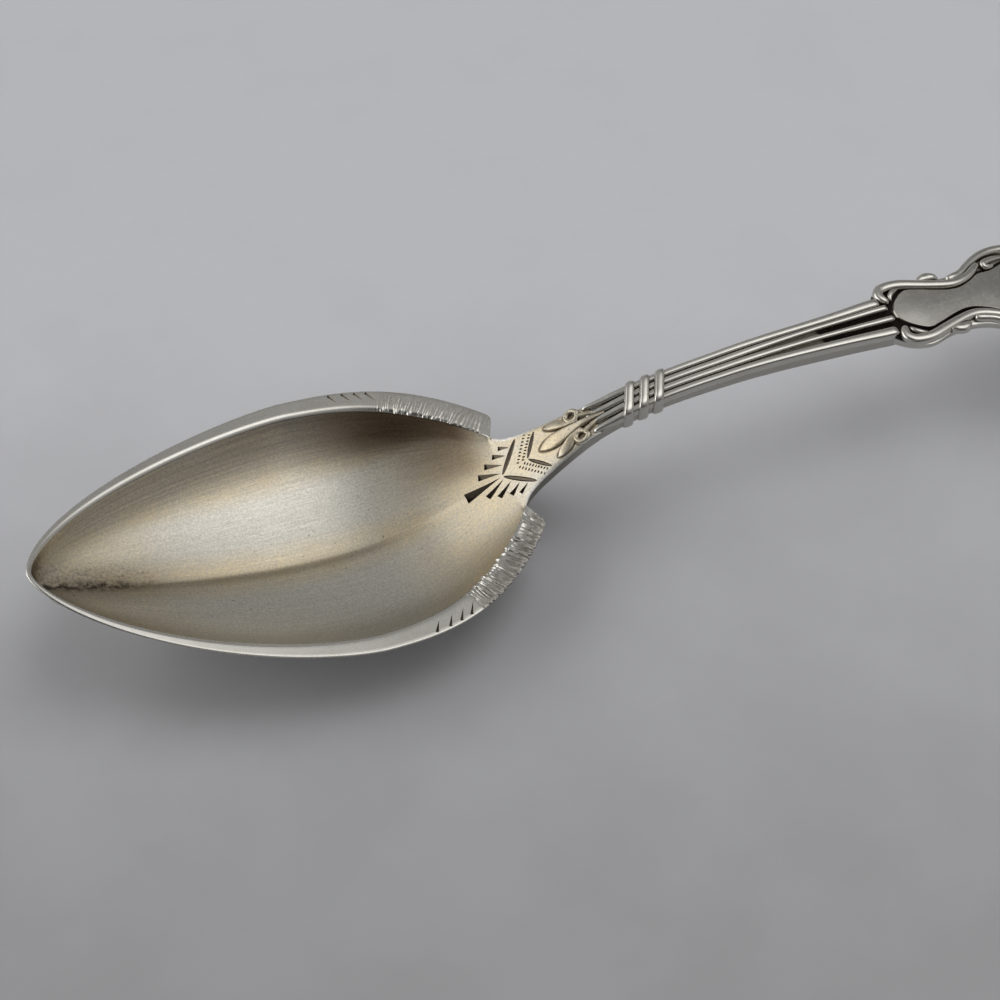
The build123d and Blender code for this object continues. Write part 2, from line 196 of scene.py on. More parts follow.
def surface(s, y):
    """Height of the top of neck and stem, which sinks from the palmette on to make the reeds' bed."""
    dish = dish_depth(s) * dish_rise(min(1.1, abs(y) / dish_half(s))) if s < DISH_END else 0.0
    return top_line(s) + dish - RELIEF * ease(s, BED_START, BED_FULL)


def at(s, y, z):
    """A point given by station, side and height in millimetres, as a vector in metres."""
    return Vector(((s - SPOON_LENGTH / 2) * MM, y * MM, z * MM))


print("neck width in mm:", round(2 * stem_half(63.0), 2))
print("bowl depth in mm:", round(dish_depth(DEEPEST), 2))

# %% [markdown]
# Most pieces start as a grid, like a sheet of clay. Each vertex of the sheet is moved to
# its place, and the sheet is often rolled until its two edges meet. Merging the doubles
# then welds the seam, filling the holes caps the ends, and recalculating the normals
# makes every face point outwards.

# %% Helpers for shaping a sheet
WELD_GAP = 2e-7


def sheet(name, along, across, place):
    """A grid whose vertices are moved by place(a, b), with a and b from 0 to 1."""
    bpy.ops.object.select_all(action="DESELECT")
    bpy.ops.mesh.primitive_grid_add(x_subdivisions=along, y_subdivisions=across, size=1.0)
    piece = bpy.context.object
    piece.name = name
    piece.data.name = name
    for vertex in piece.data.vertices:
        vertex.co = place(vertex.co.x + 0.5, vertex.co.y + 0.5)
    return piece


def weld(piece):
    """Closes a rolled sheet: seam merged, ends capped, faces outwards."""
    bpy.ops.object.mode_set(mode="EDIT")
    bpy.ops.mesh.select_all(action="SELECT")
    bpy.ops.mesh.remove_doubles(threshold=WELD_GAP)
    bpy.ops.mesh.select_all(action="SELECT")
    bpy.ops.mesh.fill_holes(sides=0)
    bpy.ops.mesh.select_all(action="SELECT")
    bpy.ops.mesh.normals_make_consistent(inside=False)
    bpy.ops.object.mode_set(mode="OBJECT")
    return piece


# %% [markdown]
# The bowl is a thin dish with a crease along its keel. One sheet makes both its faces:
# going across the sheet, the first part is the inside from the left edge to the right
# edge, and the rest comes back along the outside. The lowest vertices are pressed flat
# on the table, which gives the bowl a small worn place to rest on. The gold wash runs on
# over the neck without a seam, so the sheet does too, as a thin skin up to the reeds.

# %% Bowl
WALL, LEAST_WALL = 1.0, 0.15
INSIDE_SHARE = 0.64
BOWL_ROWS = 0.55
NOSE, NOSE_LENGTH, NOSE_LIFT = 0.42, 1.4, 1.2
TIP_CLOSED, TIP_OPEN, TIP_FILL = 0.5, 0.8, 0.3
TIP_TUCK = 0.35
UNDER_STRIP = 0.62
ROUNDED_EDGE = 0.22
REED_START = BOWL_LENGTH + 8.6
SKIN = 0.3
SKIN_START = NOTCH + 0.01
SKIN_LENGTH = REED_START - 0.41 - NOTCH


def lip_drop(s):
    """How far the rounded inner lip of the rim strip falls."""
    return min(ROUNDED_EDGE, 0.1 * dish_depth(min(s, NOTCH)))


def neck_skin(s, b):
    """A point of the thin skin over the neck."""
    half = stem_half(s)
    if b <= INSIDE_SHARE:
        u = 2 * b / INSIDE_SHARE - 1
        return at(s, u * half, surface(s, u * half) - ROUNDED_EDGE * abs(u) ** 9)
    y = (1 - 2 * (b - INSIDE_SHARE) / (1 - INSIDE_SHARE)) * half
    return at(s, y, surface(s, y) - SKIN)


def soft_keel(s):
    """The keel line with the bend at its lowest point eased, as the hammer leaves it."""
    reach = 5.0 * (1 - ease(abs(s - DEEPEST), 4.5, 11.0))
    return sum(keel_height(s + reach * step / 4) for step in range(-4, 5)) / 9


def bowl_place(a, b):
    if b == 1.0:
        b = 0.0
    if a > BOWL_ROWS:
        return neck_skin(SKIN_START + SKIN_LENGTH * (a - BOWL_ROWS) / (1 - BOWL_ROWS), b)
    s = NOSE + (NOTCH - NOSE) * a / BOWL_ROWS
    half = dish_half(s)
    edge = rim_height(s)
    opening = ease(s, TIP_CLOSED, TIP_OPEN)
    nose = math.sqrt(min(1.0, (s - NOSE + 0.01) / NOSE_LENGTH))
    if b <= INSIDE_SHARE:
        u = (2 * b / INSIDE_SHARE - 1) * 0.99
        keel = soft_keel(s)
        z = min(keel + (edge - keel) * dish_rise(abs(u)), edge - lip_drop(s) - 0.05)
        return at(s, u * half, edge - TIP_FILL + (z - edge + TIP_FILL) * opening)
    u = (1 - 2 * (b - INSIDE_SHARE) / (1 - INSIDE_SHARE)) * 0.96
    low = keel_height(s) - WALL + NOSE_LIFT * (1 - nose)
    z = low + (edge - low) * (0.2 * abs(u) + 0.8 * abs(u) ** 3)
    tuck = TIP_TUCK * (1 - ease(s, 4.0, 14.0))
    wide = max((half + WALL - tuck) * nose, half + LEAST_WALL)
    return at(s, u * wide, max(0.0, min(z, edge - UNDER_STRIP)))


bowl = weld(sheet("gilt_bowl", 400, 200, bowl_place))
print("bowl vertices:", len(bowl.data.vertices))

# %% [markdown]
# The rim strip is a flat band soldered on the edge of the bowl. A sheet will be rolled
# along the bowl's outline, so the outline is first walked from shoulder to shoulder. Its
# steps are close at the tip, where it bends most, and on the last part before the
# shoulders, where the strip is chopped.

# %% Outline of the rim
CUT_START = 41.3


def outline_point(t):
    """A point of the strip's outer edge, t from -1 at the left shoulder to 1 at the right."""
    share = 2 * abs(t)
    if share < 1:
        s = CUT_START * share ** 1.6
    else:
        s = CUT_START + (BOWL_LENGTH - CUT_START) * (share - 1)
    return s, math.copysign(bowl_half(s), t)


def edge_way(t):
    """The direction along the outer edge. Turned right, it points into the bowl."""
    before, after = outline_point(max(-1.0, t - 0.002)), outline_point(min(1.0, t + 0.002))
    along = (after[0] - before[0], after[1] - before[1])
    length = math.hypot(*along)
    return along[0] / length, along[1] / length


print("left shoulder in mm:", [round(v, 2) for v in outline_point(-1.0)])

# %% [markdown]
# Between the shoulders and the four tick marks the maker chopped the strip with a graver.
# These bright cuts are short grooves of random width and depth that run across the strip
# and nibble at its inner edge. A seed makes the random numbers the same in every run. The
# cuts on the left are the deeper ones.

# %% Bright cuts
random.seed(7)


def graver_marks(first, last, deepest, longest):
    """Random grooves: station, half width, depth, start and end from the inner edge, slant."""
    marks = []
    s = first
    while s < last:
        half = random.uniform(0.06, 0.15)
        depth = random.uniform(0.25, 1.0) * deepest
        start = random.uniform(-0.3, 0.25)
        end = random.uniform(0.4, 1.0) * longest
        slant = random.uniform(-0.25, 0.25)
        marks.append((s, half, depth, start, end, slant))
        s += random.uniform(0.14, 0.34)
    return marks


marks = {
    1: graver_marks(CUT_START, BOWL_LENGTH, deepest=0.045, longest=0.6),
    -1: graver_marks(CUT_START, BOWL_LENGTH, deepest=0.13, longest=1.1),
}


def graver_depth(s, side, share):
    """How deep the bright cuts are at a place on the strip: share 0 is its outer edge, 1 its inner."""
    deepest = 0.0
    for centre, half, depth, start, end, slant in marks[side]:
        away = abs(s - centre - slant * (share - 0.5)) / half
        if away < 1 and start <= 1 - share <= end:
            deepest = max(deepest, depth * (1 - away))
    return deepest


def scallop(s, side):
    """How far the chopped inner edge bulges into the bowl."""
    wave = math.sin(4.6 * s + 1.3 * side) + 0.7 * math.sin(7.9 * s + 2.1) + 0.5 * math.sin(2.3 * s)
    fade = 1 - ease(s, NOTCH - 1.0, NOTCH)
    return 0.13 * max(0.0, wave) * ease(s, CUT_START, CUT_START + 0.6) * fade


def ragged(s, side):
    """How far the chopped outer edge is nicked. Only the left one is."""
    if side > 0:
        return 0.0
    wave = math.sin(9.1 * s) + 0.8 * math.sin(15.7 * s + 1.0) + 0.6 * math.sin(5.3 * s + 2.0)
    return 0.12 * max(0.0, wave) * ease(s, CUT_START, CUT_START + 1.5)


print("bright cuts, right and left:", len(marks[1]), len(marks[-1]))

# %% [markdown]
# The strip's section is drawn once, as distances in from the outer edge and heights over
# the rim: the outer edge, the flat top, the lip that rounds down into the bowl and the
# underside. The sheet is then rolled along the outline with it. At both ends it has a
# small rounded corner, and its inner edge reaches on to make the ear beside the neck.

# %% Rim strip
ARC_STEPS = 900
EAR_RADIUS = 1.1
EAR_REACH = 1.1
FIRST_TOP, LAST_TOP = 4, 15


def strip_section(width, lean, drop):
    """The strip's section as (distance in from the outer edge, height over the rim's top)."""
    start = width - min(0.36, 0.45 * width)
    end = width + 0.03 + lean * drop
    narrow = min(1.0, width)
    outer = [(0.26, -0.5), (0.1, -0.3), (0.01, -0.14), (0.03, -0.06), (0.09, -0.015), (0.18, 0.0)]
    flat = [(0.18 + (start - 0.18) * t, 0.0) for t in (0.2, 0.4, 0.6, 0.8)]
    lip = [(start + (end - start) * t, -drop * t ** 2.2) for t in (0.0, 0.2, 0.4, 0.6, 0.8, 1.0)]
    under = [
        (end + 0.08 * lean, -drop - 0.08), (end + 0.14 * lean - 0.06, -drop - 0.16),
        (width * 0.7, -0.5), (width * 0.6, -0.6), (0.4 * narrow, -0.6), (0.34 * narrow, -0.57),
    ]
    return outer + flat + lip + under


def strip_place(a, b):
    t = 2 * a - 1
    s, y = outline_point(t)
    side = 1 if t > 0 else -1
    tx, ty = edge_way(t)
    width = rim_width(s)
    inside = min(s, NOTCH)
    lean = min(0.9, dish_half(inside) / (2.95 * max(0.4, dish_depth(inside))))
    section = strip_section(width, lean, lip_drop(s))
    i = int(round(b * len(section))) % len(section)
    w, z = section[i]
    share = w / width
    if s > CUT_START and FIRST_TOP <= i <= LAST_TOP:
        cut = graver_depth(s, side, share) * (1 - ease(s, BOWL_LENGTH - 0.9, BOWL_LENGTH - 0.4))
        z -= cut * ease(s, CUT_START, CUT_START + 0.8)
        w += (scallop(s, side) - 0.8 * cut) * ease(share, 0.7, 1.0)
    w += ragged(s, side) * (1 - ease(share, 0.0, 0.35))
    left = max(0.0, EAR_RADIUS - 1.6 * (BOWL_LENGTH - s))
    corner = EAR_RADIUS - math.sqrt(EAR_RADIUS ** 2 - left ** 2)
    w = corner + w * (1 - corner / (width + 0.7))
    slide = side * EAR_REACH * share * ease(s, NOTCH - 1.0, BOWL_LENGTH)
    return at(s + ty * w + tx * slide, y - tx * w + ty * slide, rim_height(s) + z)


section_points = len(strip_section(1.0, 0.4, 0.2))
strip = weld(sheet("rim_strip", ARC_STEPS, section_points, strip_place))
print("points in the strip's section:", section_points)

# %% [markdown]
# The stem is one bar. Its top is dished at the neck, where it carries on the curve of
# the bowl, and drops to a seat where the reeds lie. The sides stand nearly upright and
# roll under: low powers of a cosine and a sine square off a circle. Before the notch the
# bar is a thin tongue lapped under the bowl.

# %% Stem
STEM_DEPTH = 2.2
TOP_SHARE = 0.5
TONGUE_START, TONGUE_DROP = 43.2, 0.5
SKIN_SEAT = 0.28
STEM_EDGE = 0.1
heel_half = smooth_line(
    [(TONGUE_START, 0.05), (44.25, 2.6), (47.05, 4.3), (NOTCH, NOTCH_HALF)],
    first_slope=4.0, last_slope=0.2,
)


def signed_power(value, power):
    """A power of a value that keeps its sign."""
    return math.copysign(abs(value) ** power, value)


def bar_under(half, top, depth, b):
    """Side and height of a point on a bar's sides and rounded underside, b from 0 to 1."""
    turn = math.pi * b
    return half * signed_power(math.cos(turn), 0.34), top - depth * abs(math.sin(turn)) ** 0.62


def stem_place(a, b):
    s = TONGUE_START + (HANDLE_START + 0.6 - TONGUE_START) * a
    half = heel_half(s) if s < NOTCH else stem_half(min(s, HANDLE_START))
    bare = ease(s, REED_START - 0.6, REED_START - 0.3)
    sunk = SKIN_SEAT * (1 - bare)
    if b <= TOP_SHARE:
        u = 2 * b / TOP_SHARE - 1
        if s < NOTCH:
            return at(s, u * half, keel_height(s) - TONGUE_DROP)
        return at(s, u * half, surface(s, u * half) - sunk - STEM_EDGE * bare * abs(u) ** 16)
    top = keel_height(s) - TONGUE_DROP
    if s >= NOTCH:
        top = surface(s, half) - sunk - STEM_EDGE * bare
    lift = 1.0 - ease(s, TONGUE_START, 46.5)
    floor = top_line(s) - STEM_DEPTH - 0.4 * ease(s, 66.0, 90.0) + lift
    y, z = bar_under(half, top, max(0.1, top - floor), (b - TOP_SHARE) / (1 - TOP_SHARE))
    return at(s, y, z)


stem = weld(sheet("stem_bar", 260, 96, stem_place))
print("stem vertices:", len(stem.data.vertices))

# %% [markdown]
# The fan on the heel of the bowl is cut with a graver, not raised. Each wedge is a
# four-sided cone laid on its side with one edge down, each long chevron line is a
# stretched sphere, and the rows between the chevrons are short strokes. All the
# tools are joined, given a dark finish and taken away with one Boolean, which also hands
# the dark finish to the floor of every cut.

# %% Engraving tools
MIDDLE_WEDGE = ((45.8, -0.05), (49.75, 0.0), 0.68)
SIDE_WEDGES = [
    ((47.7, 1.42), (49.85, 0.4), 0.46),
    ((48.7, 2.2), (50.4, 1.15), 0.44),
    ((49.8, 2.75), (51.05, 1.95), 0.4),
    ((50.65, 3.25), (51.7, 2.6), 0.35),
]
CHEVRONS = [
    ((49.95, 0.1), (52.55, 3.15), 0.3, 0.26),
    ((52.75, 0.05), (54.45, 2.6), 0.24, 0.22),
]
# A row of strokes: first station, length along the spoon, first side, length across.
STROKE_ROWS = [(51.75, 1.7, 0.3, 2.55), (52.3, 1.6, 0.25, 2.25)]
STROKES = 9
STROKE_ALONG, STROKE_ACROSS = 0.13, 0.1
tools = []


def finish_tool(name):
    tool = bpy.context.object
    tool.name = name
    tools.append(tool)


def aim(start, end):
    """The turn that lays a tool's long Z axis from start to end."""
    return (end - start).to_track_quat("Z", "Y").to_euler()


def cone_tool(name, first, last, radius, point):
    """A four-sided cone, widest at first, with its small end at last."""
    bpy.ops.mesh.primitive_cone_add(
        vertices=4, radius1=radius * MM, radius2=point * MM, depth=(last - first).length,
        location=(first + last) / 2, rotation=aim(first, last),
    )
    finish_tool(name)


def on_surface(s, y, lift):
    return at(s, y, surface(s, y) + lift)


def wedge(start, end, radius):
    """A wedge cut, widest at its start, with its point at the end."""
    cone_tool("wedge_tool", on_surface(*start, 0.03), on_surface(*end, 0.03), radius, 0.03)


def canoe(start, end, width, depth):
    """A long cut, pointed at both ends."""
    first, last = on_surface(*start, 0.02), on_surface(*end, 0.02)
    bpy.ops.mesh.primitive_uv_sphere_add(
        segments=12, ring_count=16, radius=1.0, location=(first + last) / 2, rotation=aim(first, last),
        scale=(width * MM, depth * MM, (last - first).length / 2),
    )
    finish_tool("chevron_tool")


bpy.ops.object.select_all(action="DESELECT")
wedge(*MIDDLE_WEDGE)
for side in (1, -1):
    for (s, y), (end_s, end_y), radius in SIDE_WEDGES:
        wedge((s, y * side), (end_s, end_y * side), radius)
    for (s, y), (end_s, end_y), width, depth in CHEVRONS:
        canoe((s, y * side), (end_s, end_y * side), width, depth)
    for i in range(STROKES):
        t = i / (STROKES - 1)
        for first_s, row_along, first_y, row_across in STROKE_ROWS:
            s, y = first_s + row_along * t, first_y + row_across * t
            start = (s - STROKE_ALONG, (y + STROKE_ACROSS) * side)
            end = (s + STROKE_ALONG, (y - STROKE_ACROSS) * side)
            canoe(start, end, 0.1, 0.14)
print("engraving tools:", len(tools))

# %% [markdown]
# Finishes are built from shader nodes. In the Shader Editor they would be placed and wired
# by hand. Here a few helpers each add one kind of node and return the socket that the next
# node needs: a noise texture, a soft step, a sum, a product, the largest of several
# values, a blend of two colours.

# %% Shader helpers
def new_finish(name):
    material = bpy.data.materials.new(name)
    material.use_nodes = True
    return material, material.node_tree, material.node_tree.nodes["Principled BSDF"]


def node(tree, kind, sources=None, **settings):
    """Adds a shader node, sets its options and plugs sources or numbers into its inputs."""
    made = tree.nodes.new(kind)
    for key, value in settings.items():
        setattr(made, key, value)
    for key, value in (sources or {}).items():
        if isinstance(value, bpy.types.NodeSocket):
            tree.links.new(value, made.inputs[key])
        else:
            made.inputs[key].default_value = value
    return made


def noise(tree, vector, scale, detail=3.0, rough=0.55):
    sources = {"Vector": vector, "Scale": scale, "Detail": detail, "Roughness": rough}
    return node(tree, "ShaderNodeTexNoise", sources).outputs["Fac"]


def remap(tree, value, low, high, first=0.0, last=1.0):
    """A soft step of a value: first at low, last at high."""
    sources = {0: value, 1: low, 2: high, 3: first, 4: last}
    return node(tree, "ShaderNodeMapRange", sources, interpolation_type="SMOOTHSTEP").outputs[0]


def sums(tree, operation, first, second, clamp=False):
    made = node(tree, "ShaderNodeMath", {0: first, 1: second}, operation=operation, use_clamp=clamp)
    return made.outputs[0]


def times(tree, *factors):
    product = factors[0]
    for factor in factors[1:]:
        product = sums(tree, "MULTIPLY", product, factor)
    return product


def largest(tree, *values):
    most = values[0]
    for value in values[1:]:
        most = sums(tree, "MAXIMUM", most, value)
    return most


def blend(tree, factor, first, second):
    made = node(tree, "ShaderNodeMix", {0: factor, 6: first, 7: second}, data_type="RGBA")
    return made.outputs[2]


def stretched(tree, vector, x, y, z):
    return node(tree, "ShaderNodeMapping", {"Vector": vector, "Scale": (x, y, z)}).outputs[0]


# %% [markdown]
# Metal shows its surroundings, so its finish is mostly about roughness and about what
# lies on it. The silver gets brown tarnish wherever the ambient occlusion node finds a
# crevice, tarnish and painted shade where a piece carries soot and painted shade in an
# attribute of its own, thin blotches from a noise texture, and fine scratches in its bump.
# The textures read Object coordinates, so they stay on the metal in every view. On the stem
# and the reeds only narrow crevices count, and on the chopped strip the soot runs in streaks
# that stand up as ridges.

# %% Silver finishes
SILVER = (0.57, 0.555, 0.51, 1.0)
DULL_SILVER = (0.45, 0.42, 0.36, 1.0)
TARNISH_AND_SHADE = (0.1, 0.078, 0.055, 1.0)
BLACK = (0.016, 0.013, 0.011, 1.0)


def silver_finish(name, rough, crevice, chopped=False):
    """Worn silver, tarnished, with a piece's soot and painted shade. Chopped, its soot is streaked across
    the strip in ridges.
    """
    material, tree, shader = new_finish(name)
    coordinates = node(tree, "ShaderNodeTexCoord")
    place = coordinates.outputs["Object"]
    hollow = node(tree, "ShaderNodeAmbientOcclusion", {"Distance": crevice * MM}, samples=8).outputs["AO"]
    soot_and_shade = node(tree, "ShaderNodeAttribute", attribute_name="soot_and_shade").outputs["Fac"]
    if chopped:
        ridges = noise(tree, stretched(tree, coordinates.outputs["UV"], 210.0, 9.0, 1.0), 1.0, 3.0, 0.6)
        height = times(tree, ridges, soot_and_shade)
        soot_and_shade = times(tree, soot_and_shade, remap(tree, ridges, 0.35, 0.6, 1.5, 0.45))
    # tarnish in crevices, with the soot and painted shade that the piece carries
    deep = largest(tree, remap(tree, hollow, 0.7, 0.3), times(tree, soot_and_shade, 0.85))
    blotch = remap(tree, noise(tree, place, 180.0, 5.0, 0.65), 0.45, 0.8, 0.0, 0.4)
    worn = blend(tree, blotch, SILVER, DULL_SILVER)
    stained_and_shaded = blend(tree, deep, worn, TARNISH_AND_SHADE)
    # black where the soot and painted shade are deepest, in the grooves at the handle and round the panel
    black = blend(tree, remap(tree, soot_and_shade, 0.75, 1.0), stained_and_shaded, BLACK)
    tree.links.new(black, shader.inputs["Base Color"])
    speck = noise(tree, place, 1900.0, 3.0)
    gloss = remap(tree, speck, 0.3, 0.75, rough, rough + 0.06)
    tree.links.new(sums(tree, "ADD", gloss, times(tree, deep, 0.3)), shader.inputs["Roughness"])
    scratches = noise(tree, stretched(tree, place, 300.0, 5000.0, 5000.0), 1.0, 2.0)
    relief = times(tree, scratches, 0.01)
    if chopped:
        relief = sums(tree, "ADD", relief, height)
    bump = node(tree, "ShaderNodeBump", {"Distance": 0.0002, "Height": relief})
    tree.links.new(bump.outputs[0], shader.inputs["Normal"])
    shader.inputs["Metallic"].default_value = 1.0
    return material


silver = silver_finish("worn_silver", rough=0.22, crevice=0.6)
reeded_silver = silver_finish("reeded_silver", rough=0.22, crevice=0.25)
chopped_silver = silver_finish("chopped_silver", rough=0.24, crevice=0.6, chopped=True)
print("silver finishes:", silver.name, reeded_silver.name, chopped_silver.name)

# %% [markdown]
# The graver's cuts are full of old tarnish. A plain dark colour would look like paint, so
# their floors stay mostly metal and a fine noise mixes two browns.

# %% Finish of the cuts
CUT_DARK = (0.07, 0.056, 0.042, 1.0)
CUT_PALE = (0.2, 0.165, 0.125, 1.0)
cut_floor, tree, shader = new_finish("tarnished_cut")
place = node(tree, "ShaderNodeTexCoord").outputs["Object"]
streak = noise(tree, place, 2500.0, 3.0)
tree.links.new(blend(tree, streak, CUT_DARK, CUT_PALE), shader.inputs["Base Color"])
tree.links.new(remap(tree, streak, 0.3, 0.7, 0.3, 0.5), shader.inputs["Roughness"])
shader.inputs["Metallic"].default_value = 0.9
print("finish of the cuts:", cut_floor.name)

# %% [markdown]
# The bowl was washed with gold. Most of it has worn down to pale silver, but it stays
# warm along the keel, on the heel, high on the right wall and at the tip. Each of these
# places is a soft step over the station, the distance from the keel or the sheet's own UV
# map, which runs from the left edge over the inside to the outside. Noise breaks it up.

# %% Gold wash
GILT = (0.59, 0.495, 0.33, 1.0)
WORN_GILT = (0.56, 0.535, 0.475, 1.0)
gilt, tree, shader = new_finish("worn_gilt")
coordinates = node(tree, "ShaderNodeTexCoord")
place, sheet_map = coordinates.outputs["Object"], coordinates.outputs["UV"]
axes = node(tree, "ShaderNodeSeparateXYZ", {0: place})
along, across = axes.outputs[0], axes.outputs[1]
from_keel = node(tree, "ShaderNodeMath", {0: across}, operation="ABSOLUTE").outputs[0]
over = node(tree, "ShaderNodeSeparateXYZ", {0: sheet_map}).outputs[1]
cloud = noise(tree, place, 130.0, 5.0, 0.6)
fine = noise(tree, place, 4600.0, 3.0, 0.7)


def by_station(first, last, low=0.0, high=1.0):
    """A soft step along the bowl, low at the first station and high at the last."""
    return remap(tree, along, at(first, 0, 0).x, at(last, 0, 0).x, low, high)


keel_gold = remap(tree, from_keel, 4.0 * MM, 0.5 * MM, 0.0, 0.95)
heel_gold = times(tree, by_station(34.0, 46.0), by_station(52.5, 49.5, 0.25, 0.9))
wall_gold = remap(tree, over, 0.49, 0.55, 0.0, 0.9)
tip_gold = by_station(18.0, 6.0, 0.0, 0.8)
gold = largest(tree, keel_gold, heel_gold, wall_gold, tip_gold)
gold = times(tree, gold, remap(tree, cloud, 0.3, 0.65, 0.5, 1.0))
gold = sums(tree, "MULTIPLY", gold, remap(tree, fine, 0.38, 0.6, 0.55, 1.2), clamp=True)
washed = blend(tree, gold, WORN_GILT, GILT)
print("nodes of the gold wash:", len(tree.nodes))

# %% [markdown]
# Tarnish lies over the gold. It is dusky in streaks high on the right wall, faint at the
# tip and darkest in crevices. The bowl is also made darker brown under the rim and across
# the floor towards the heel, and in a thin line beside the keel. The streaks follow the
# bowl's length as brushing does, so their noise reads the UV map.

# %% Tarnish and brown in the bowl
DUSK = (0.3, 0.265, 0.235, 1.0)
BROWN = (0.13, 0.085, 0.05, 1.0)
DARK_BROWN = (0.08, 0.055, 0.035, 1.0)
LAST_INSIDE, FIRST_OUTSIDE = 0.642, 0.646
streaks = noise(tree, stretched(tree, sheet_map, 5.0, 220.0, 1.0), 1.0, 4.0, 0.65)
inside = times(tree, remap(tree, over, FIRST_OUTSIDE, LAST_INSIDE), by_station(50.5, 47.0))
high_wall = times(tree, remap(tree, over, 0.52, 0.61), inside)
dusk = times(tree, high_wall, remap(tree, streaks, 0.35, 0.65, 0.6, 0.3))
dusky = blend(tree, dusk, washed, DUSK)

# darker brown under the rim and across the floor towards the heel
under_rim = times(tree, remap(tree, over, 0.505, 0.59), by_station(28.0, 41.0))
heel_brown = times(tree, remap(tree, over, 0.34, 0.46, 0.0, 0.7), by_station(38.0, 46.0))
under_rim = times(tree, largest(tree, under_rim, heel_brown), times(tree, inside, 0.92))
tip_shade = times(tree, by_station(20.0, 6.0, 0.0, 0.45), remap(tree, from_keel, 4.0 * MM, 0.5 * MM))
# a thin brown line along the near side of the keel
keel_near = remap(tree, across, -1.6 * MM, -0.4 * MM)
keel_far = remap(tree, across, 0.3 * MM, -0.2 * MM)
keel_line = times(tree, keel_near, keel_far, by_station(42.0, 34.0, 0.0, 0.4))
brown = largest(tree, under_rim, tip_shade, keel_line)

hollow = node(tree, "ShaderNodeAmbientOcclusion", {"Distance": 0.3 * MM}, samples=8).outputs["AO"]
soot_and_shade = node(tree, "ShaderNodeAttribute", attribute_name="soot_and_shade").outputs["Fac"]
crevice = largest(tree, remap(tree, hollow, 0.8, 0.45, 0.0, 0.9), times(tree, soot_and_shade, 0.9))
browned = blend(tree, crevice, blend(tree, brown, dusky, BROWN), DARK_BROWN)
print("nodes with the tarnish:", len(tree.nodes))

# %% [markdown]
# Dirt has settled along the keel at the tip, with specks beside it, and small pits dot the
# bowl, most of them near the keel. A noise with a high threshold leaves only its peaks,
# which makes the pits.

# %% Dirt and pits in the bowl
DIRT = (0.05, 0.04, 0.03, 1.0)
grime = remap(tree, noise(tree, place, 1700.0, 5.0, 0.7), 0.35, 0.62, 0.2, 1.0)
keel_dirt = times(tree, remap(tree, from_keel, 1.2 * MM, 0.1 * MM), by_station(15.0, 7.0), grime)
specks_near = remap(tree, across, -1.2 * MM, 0.2 * MM)
specks_far = remap(tree, across, 3.5 * MM, 1.0 * MM)
dust = remap(tree, noise(tree, place, 3300.0, 5.0, 0.75), 0.42, 0.68)
specks = times(tree, specks_near, specks_far, by_station(16.0, 8.0, 0.0, 0.6), dust)
peaks = remap(tree, noise(tree, place, 2600.0, 2.0), 0.69, 0.76)
pits = times(tree, peaks, remap(tree, from_keel, 9.0 * MM, 1.0 * MM, 0.15, 0.8))
dirtied = blend(tree, largest(tree, keel_dirt, specks, pits), browned, DIRT)
print("nodes with the dirt:", len(tree.nodes))

# %% [markdown]
# The outside of the bowl was left silver, and the edges of the neck get a painted highlight,
# a bright silver colour along them. The last colour is shaded a little by two of the noises.
# Brushed grain, stretched along the bowl like the streaks, sets the roughness and, with a
# very small bump, makes the gold look satin instead of polished.

# %% Gilt finish
PAINTED_HIGHLIGHT = (0.86, 0.85, 0.81, 1.0)
outside = remap(tree, over, LAST_INSIDE, FIRST_OUTSIDE)
plated = blend(tree, outside, dirtied, SILVER)
# painted highlight: a bright silver colour along both edges of the neck
neck_edges = largest(tree, remap(tree, over, 0.04, 0.015), remap(tree, over, 0.6, 0.625))
neck_highlight = times(tree, neck_edges, by_station(50.2, 51.2, 0.0, 0.9))
colour = blend(tree, neck_highlight, plated, PAINTED_HIGHLIGHT)
fine_shade = remap(tree, fine, 0.3, 0.7, 0.82, 1.14)
shade = times(tree, fine_shade, remap(tree, streaks, 0.3, 0.7, 0.93, 1.05))
tint = node(tree, "ShaderNodeVectorMath", {0: colour}, operation="SCALE")
tree.links.new(shade, tint.inputs["Scale"])
tree.links.new(tint.outputs[0], shader.inputs["Base Color"])
grain = noise(tree, stretched(tree, sheet_map, 20.0, 420.0, 1.0), 1.0, 3.0)
tree.links.new(remap(tree, grain, 0.3, 0.7, 0.34, 0.43), shader.inputs["Roughness"])
relief = sums(tree, "ADD", grain, times(tree, fine, 0.5))
bump = node(tree, "ShaderNodeBump", {"Strength": 0.25, "Distance": 0.00002, "Height": relief})
tree.links.new(bump.outputs[0], shader.inputs["Normal"])
shader.inputs["Metallic"].default_value = 1.0
print("nodes of the whole gilt finish:", len(tree.nodes))

# %% [markdown]
# Soot and painted shade are set by rule instead of by hand. In Vertex Paint one would brush
# them on; here each vertex gets a number from its place, in an attribute that the finishes
# read. The bed between the reeds is brown tarnish and painted shade, pale past the ties, and
# black painted shade at the handle, with its far groove kept lighter as painted light. The
# chopped part of the strip is dull, most of all on the left.

# %% Soot and painted shade on stem and strip
def add_soot_and_shade(piece, rule):
    """Writes each vertex's soot and painted shade, by a rule of its station, side and height."""
    values = []
    for vertex in piece.data.vertices:
        values.append(rule(vertex.co.x / MM + SPOON_LENGTH / 2, vertex.co.y / MM, vertex.co.z / MM))
    attribute = piece.data.attributes.new("soot_and_shade", "FLOAT", "POINT")
    attribute.data.foreach_set("value", values)
    print(piece.name, "vertices with soot:", sum(1 for value in values if value > 0.0))


def on_top(s, y, z):
    return z > surface(s, y) - 0.06


